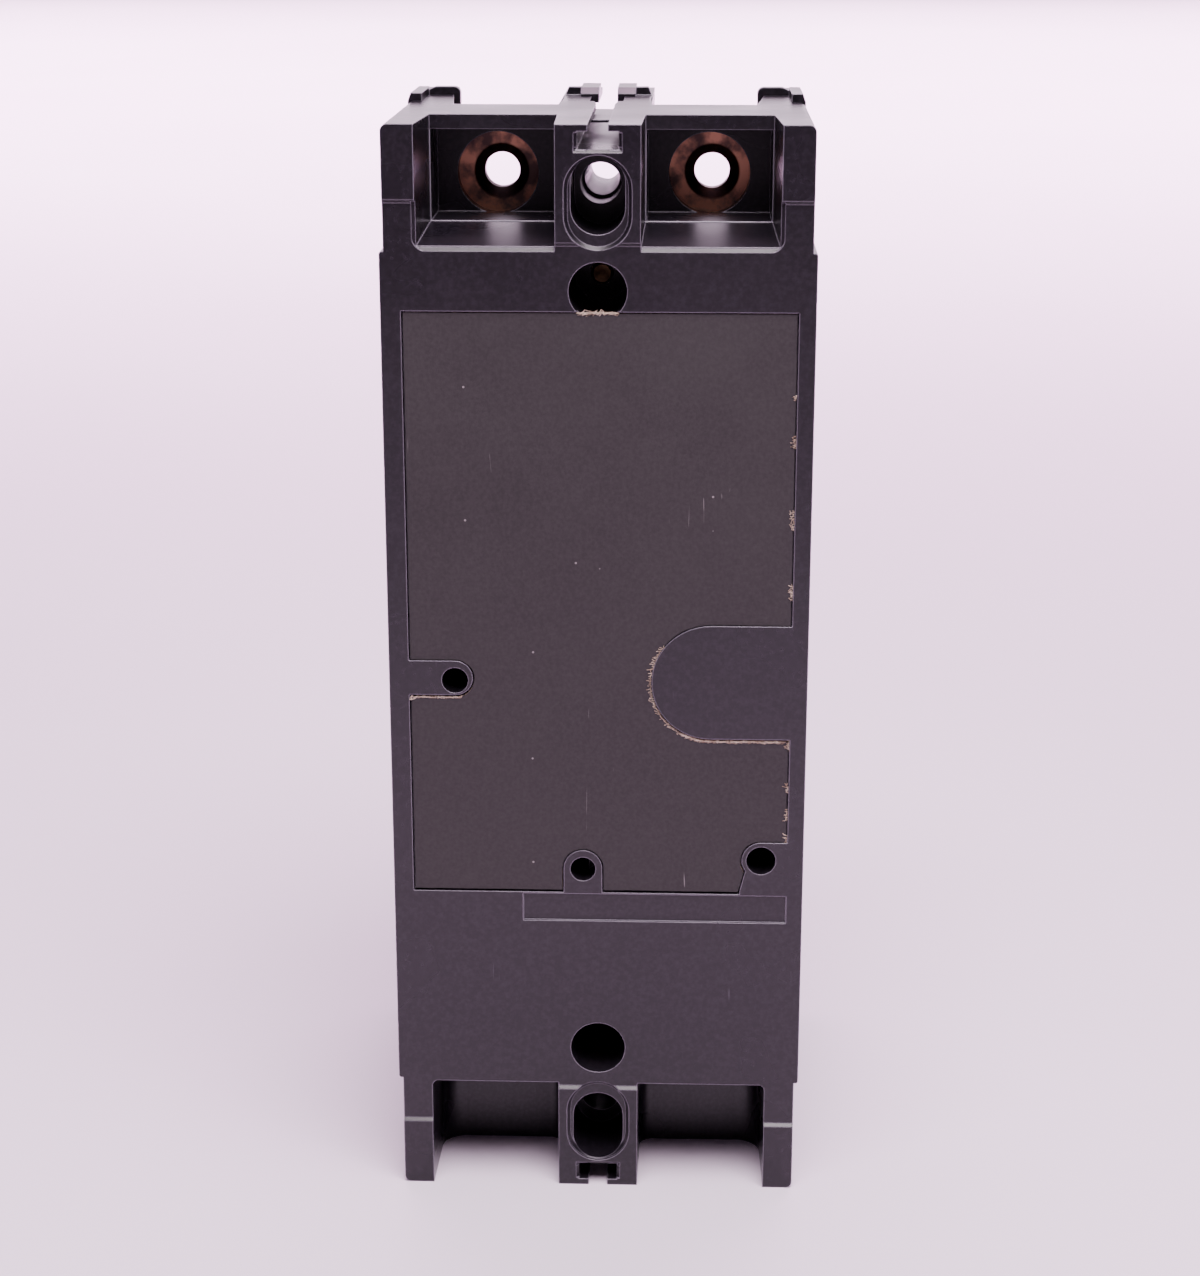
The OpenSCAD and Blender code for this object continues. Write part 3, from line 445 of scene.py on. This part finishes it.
# %% Torn fibres
def torn_fibre_material():
    material, tree, shader, place = start("raw_cotton_fibre", IOR=1.5, Roughness=0.85)
    tone = blotches(tree, place, 0.8, 0.35, 0.65)
    tree.links.new(mix(tree, tone, colour("#8d7766"), colour("#cdbba8")), shader.inputs["Base Color"])
    return material


def near(x, z, x0, x1, z0, z1):
    return x0 * MM < x < x1 * MM and z0 * MM < z < z1 * MM


def fuzz(x, z):
    """How many fibres stand at a point of the outline, and how far they stray, in millimetres."""
    arc = math.hypot(x + 13.25 * MM, z - 65.6 * MM) < 7.5 * MM
    if near(x, z, -22, -6, 58, 59.2) and arc or near(x, z, -22, -13, 58, 59):
        return 3, 0.10
    if near(x, z, -13.3, -5.9, 58, 70) and arc:
        return 1, 0.08
    if near(x, z, 16, 22.2, 63, 64):
        return 2, 0.08
    if x < -22.2 * MM and z < 100 * MM:
        return (2, 0.16) if noise.noise(Vector((0, 0, z / (3 * MM)))) > 0.12 else (0, 0)
    if near(x, z, -2.2, 1.8, 108.9, 109.2):
        return 1, 0.3
    return 0, 0


dice = random.Random(4)
thread = bpy.data.curves.new("torn_fibres", "CURVE")
thread.dimensions = "3D"
thread.bevel_depth = 0.03 * MM
thread.bevel_resolution = 1
for loop in outline:
    for x, z in stepped(loop, 0.3 * MM):
        count, stray = fuzz(x, z)
        for _ in range(count):
            turn = dice.uniform(0, 2 * math.pi)
            long = dice.uniform(0.3, 0.9) * MM
            spline = thread.splines.new("POLY")
            spline.points.add(4)
            for i, point in enumerate(spline.points):
                t = i / 4 - 0.5
                bend = dice.gauss(0, stray) * MM
                point.co = (x + long * t * math.cos(turn) + bend,
                            sheet_high.y + (0.02 + 0.22 * (0.25 - t * t)) * MM,
                            z + long * t * math.sin(turn) * 0.5 + dice.gauss(0, stray * 0.6) * MM, 1)
drawn = bpy.data.objects.new("torn_fibres_drawn", thread)
fibre_mesh = bpy.data.meshes.new_from_object(drawn)
bpy.data.objects.remove(drawn)
torn_fibres = bpy.data.objects.new("torn_fibres", fibre_mesh)
bpy.context.collection.objects.link(torn_fibres)
fibre_mesh.materials.clear()
fibre_mesh.materials.append(torn_fibre_material())
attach(torn_fibres, "case")
print("torn fibres:", len(fibre_mesh.polygons), "faces")

# %% [markdown]
# A plain studio: one large pale floor that also fills the background. A small soft light hangs low over the floor
# just behind the case, so that the polished back mirrors a bright floor near its feet and a darker one further off.
# A wide gridded light, kept off that near floor, fills the background.

# %% Floor
def plain_floor_material():
    material, tree, shader, place = start("matte_pale_board", Roughness=0.8)
    shade = blotches(tree, place, 400, 0.3, 0.7, 2.0)
    tree.links.new(mix(tree, shade, colour("#ecdcee"), colour("#f1e3f3")), shader.inputs["Base Color"])
    return material


floor_mesh = bpy.data.meshes.new("floor")
reach = 12.0  # metres each way, so that its edge never shows
floor_mesh.from_pydata([(-reach, -reach, 0), (reach, -reach, 0), (reach, reach, 0), (-reach, reach, 0)],
                       [], [(0, 1, 2, 3)])
floor = bpy.data.objects.new("floor", floor_mesh)
floor.location.z = cad_box[0].z - 0.02 * MM
bpy.context.collection.objects.link(floor)
floor_mesh.materials.append(plain_floor_material())
print("floor at", round(floor.location.z, 5))

# %% Lights
def soft_light(name, spot, target, size, watts, tint):
    lamp = bpy.data.lights.new(name, "AREA")
    lamp.shape = "RECTANGLE"
    lamp.size, lamp.size_y = size
    lamp.energy = watts
    lamp.color = colour(tint)[:3]
    holder = bpy.data.objects.new(name, lamp)
    holder.location = spot
    holder.rotation_euler = (Vector(target) - Vector(spot)).to_track_quat("-Z", "Y").to_euler()
    bpy.context.collection.objects.link(holder)
    return holder


soft_light("overhead", (-0.05, 0.2, 0.46), (-0.02, 0.15, 0), (0.3, 0.3), 6, "#fff0fa")
backdrop = soft_light("backdrop", (0, -1.8, 1.5), (0, -1.8, 0), (3.5, 2.4), 250, "#ffd6f6")
backdrop.data.spread = math.radians(80)
print("two soft lights")

# %% [markdown]
# The room is bright beyond the object, as if by a window, and dark behind the viewer. The window glances off the
# top faces; the dark side keeps the upper part of the back deep, as its polish mirrors the far side of the room.

# %% Sky
sky = bpy.data.worlds.new("window_room")
sky.use_nodes = True
room = sky.node_tree
way = add(room, "ShaderNodeSeparateXYZ", {0: add(room, "ShaderNodeTexCoord").outputs["Generated"]})
window = add(room, "ShaderNodeMapRange", {"Value": way.outputs["Y"], "From Min": -0.7, "From Max": -0.95,
                                          "To Min": 0.1, "To Max": 3.2}, interpolation_type="SMOOTHSTEP")
room.nodes["Background"].inputs["Color"].default_value = colour("#fbe0f8")
room.links.new(window.outputs["Result"], room.nodes["Background"].inputs["Strength"])
bpy.context.scene.world = sky
print("sky ready")

# %% [markdown]
# The camera stands behind the breaker, a little right of its centre line and well above it, and looks gently down,
# so that the back is seen nearly square and the top faces only as a sliver.

# %% Camera
PROUD = 0.4 * MM  # the feet and ears stand this far off the middle of the back
back_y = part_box("base")[1].y - PROUD
stand = Vector((-10.3 * MM, back_y + 282.7 * MM, 156.7 * MM))
look = Vector((-0.25 * MM, back_y, 71.0 * MM))
lens = bpy.data.cameras.new("camera")
lens.sensor_width = 36
lens.lens = 71.5
camera = bpy.data.objects.new("camera", lens)
camera.location = stand
camera.rotation_euler = (look - stand).to_track_quat("-Z", "Y").to_euler()
bpy.context.collection.objects.link(camera)
bpy.context.scene.camera = camera
print("camera looks down", round(math.degrees(math.atan2(stand.z - look.z, stand.y - look.y)), 1), "degrees")
